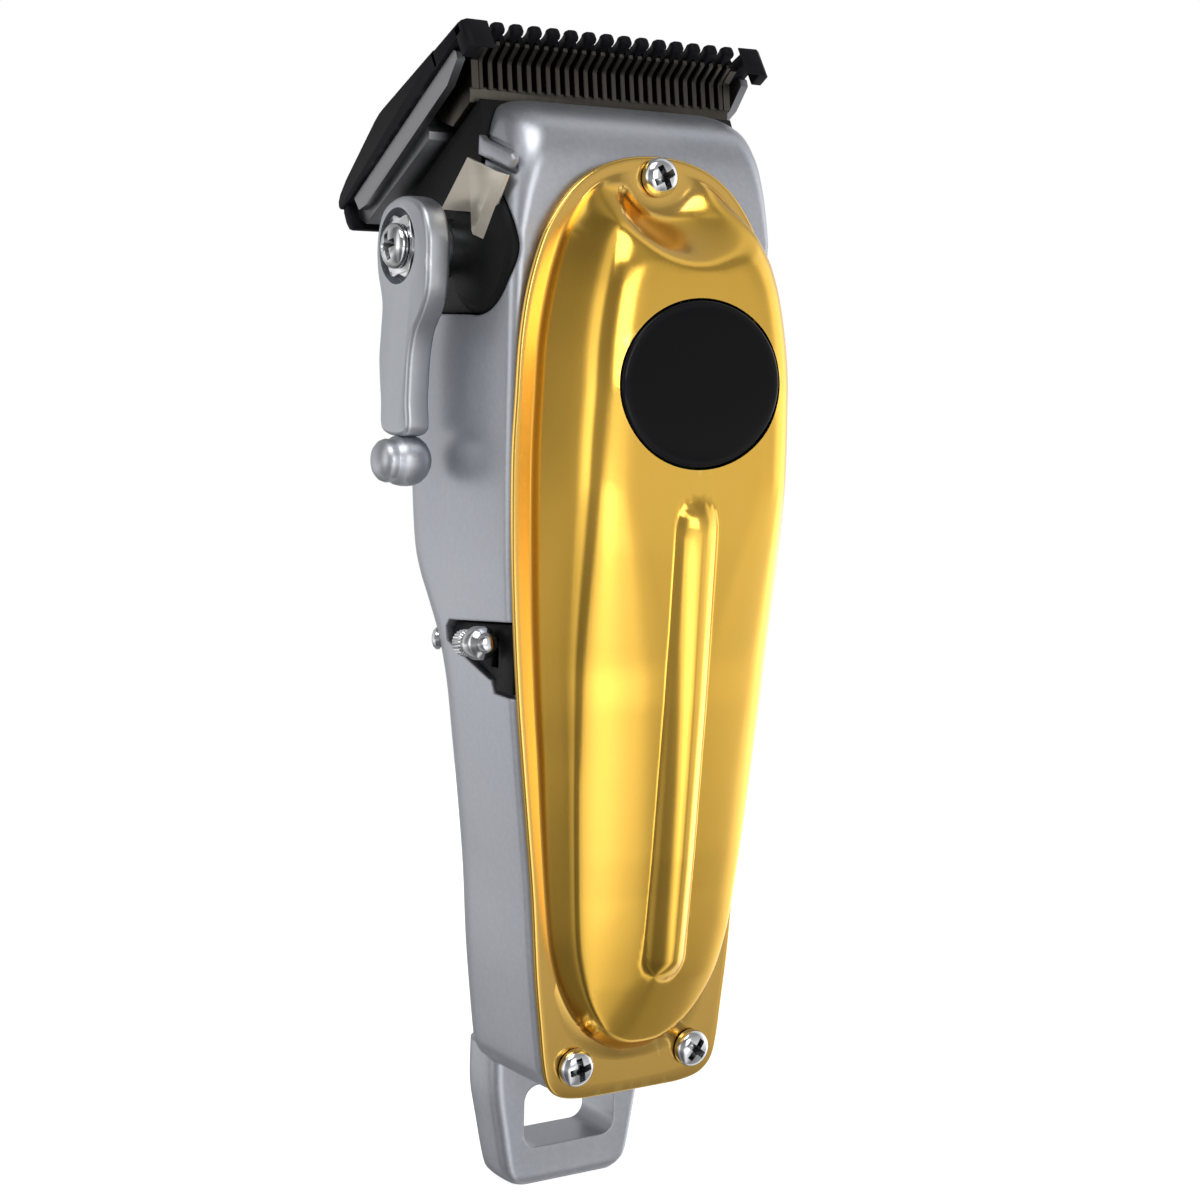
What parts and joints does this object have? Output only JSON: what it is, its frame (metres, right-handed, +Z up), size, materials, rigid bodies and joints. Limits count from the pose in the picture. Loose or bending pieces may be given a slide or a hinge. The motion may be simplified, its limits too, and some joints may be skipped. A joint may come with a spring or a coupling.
{
  "type": "hair clipper",
  "caption": "Cordless hair clipper: silver cast body with hanging loop, domed gold cover with round display, stagger-tooth blades, side taper lever and side switch.",
  "frame": {"origin": "middle of the flat bottom end of the hanging loop", "axes": "+Z up along the body to the blade tips, -Y out of the domed cover, -X to the taper lever's side"},
  "size_m": [0.0526, 0.0564, 0.1546],
  "materials": {
    "silver_casting": "satin brushed",
    "gold_cover": "polished gold anodised",
    "black_plastic": "satin",
    "black_blade": "black coated",
    "dark_steel": "ground",
    "satin_silver": "satin cast",
    "chrome_screw": "bright",
    "bright_steel": "satin",
    "brass_drive": "turned",
    "spring_clip": "satin",
    "display_gloss": "gloss",
    "cell_sleeve": "satin",
    "green_board": "satin",
    "red_lead": "satin"
  },
  "bodies": {
    "housing": {"body_shell": "silver_casting", "top_cover": "gold_cover", "cover_screw_top": "chrome_screw", "cover_screw_left": "chrome_screw", "cover_screw_right": "chrome_screw", "display_lens": "display_gloss", "display_board": "green_board", "chassis": "black_plastic", "chassis_screw_left": "chrome_screw", "chassis_screw_right": "chrome_screw", "switch_bezel": "black_plastic", "power_switch_body": "black_plastic", "rear_screw": "chrome_screw", "spring_clip": "spring_clip", "motor_can": "bright_steel", "motor_end_cap": "black_plastic", "battery_cell": "cell_sleeve", "main_board": "green_board", "charge_socket": "black_plastic", "motor_lead_red": "red_lead", "motor_lead_black": "black_plastic", "battery_lead_red": "red_lead", "battery_lead_black": "black_plastic"},
    "blade_set": {"fixed_blade": "black_blade", "blade_carrier": "dark_steel", "blade_screw_left": "chrome_screw", "blade_screw_right": "chrome_screw"},
    "cutter": {"cutter_blade": "dark_steel", "cutter_follower": "black_plastic"},
    "lever": {"lever_arm": "satin_silver", "lever_knob": "satin_silver", "lever_washer": "chrome_screw", "lever_screw": "chrome_screw", "lever_cam": "bright_steel"},
    "rotor": {"motor_shaft": "bright_steel", "drive_eccentric": "brass_drive"},
    "switch": {"power_knob": "chrome_screw"}
  },
  "joints": [
    {"name": "lever_swing", "type": "hinge", "parent": "housing", "child": "lever", "pos_m": [-0.0252, 0.0002, 0.1265], "axis": [-1, 0, 0], "range_deg": [0, 45]},
    {"name": "blade_adjust", "type": "slide", "parent": "housing", "child": "blade_set", "axis": [0, 0.8387, -0.5446], "range_m": [0, 0.0018]},
    {"name": "cutter_stroke", "type": "slide", "parent": "housing", "child": "cutter", "axis": [1, 0, 0], "range_m": [-0.0012, 0.0012]},
    {"name": "motor_spin", "type": "hinge", "parent": "housing", "child": "rotor", "pos_m": [0, -0.0012, 0.114], "axis": [0, 0, 1], "continuous": true},
    {"name": "power_slide", "type": "slide", "parent": "housing", "child": "switch", "axis": [0, 0, -1], "range_m": [0, 0.002]}
  ],
  "couplings": [
    {"joint": "lever_swing", "follows": "blade_adjust", "rad_per_m": 436.3}
  ]
}
